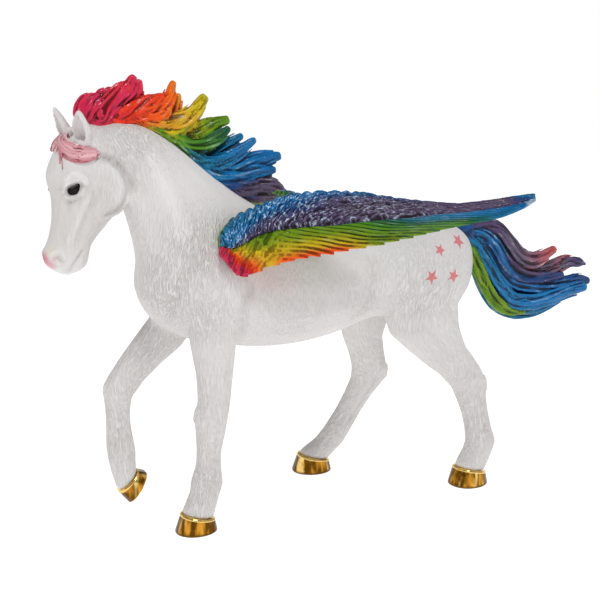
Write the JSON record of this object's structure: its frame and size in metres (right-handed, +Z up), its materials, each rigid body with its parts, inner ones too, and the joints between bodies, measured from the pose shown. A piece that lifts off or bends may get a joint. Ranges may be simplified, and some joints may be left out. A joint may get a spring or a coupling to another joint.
{
  "type": "winged horse figurine",
  "caption": "Walking winged horse ornament: matte white coat, gilt hooves, glossy rainbow mane and tail, layered feather wings.",
  "frame": {"origin": "middle of the figurine's bounding box, on the floor that the three standing hooves rest on", "axes": "the nose points to -X and the tail to +X, +Y is the horse's right side, +Z is up"},
  "size_m": [0.1758, 0.0964, 0.1187],
  "materials": {
    "coat": "matte warm white paint, hair grooves washed with grey, pink blush at the muzzle and under the wings",
    "gold": "mirror-gold metallic coating",
    "eye": "gloss black bead",
    "mane": "glossy rainbow lacquer, red at the poll to blue at the withers",
    "forelock": "pale pink satin paint with darker pink lines",
    "tail": "glossy lacquer, purple, blue and lime strands",
    "wing": "glossy rainbow lacquer over feather relief"
  },
  "bodies": {
    "root": {"body": "coat", "left_foreleg": "coat", "right_foreleg": "coat", "left_hind_leg": "coat", "right_hind_leg": "coat", "left_fore_hoof": "gold", "right_fore_hoof": "gold", "left_hind_hoof": "gold", "right_hind_hoof": "gold", "left_eye": "eye", "right_eye": "eye", "mane": "mane", "forelock": "forelock", "tail": "tail", "left_wing": "wing", "right_wing": "wing"}
  },
  "joints": []
}
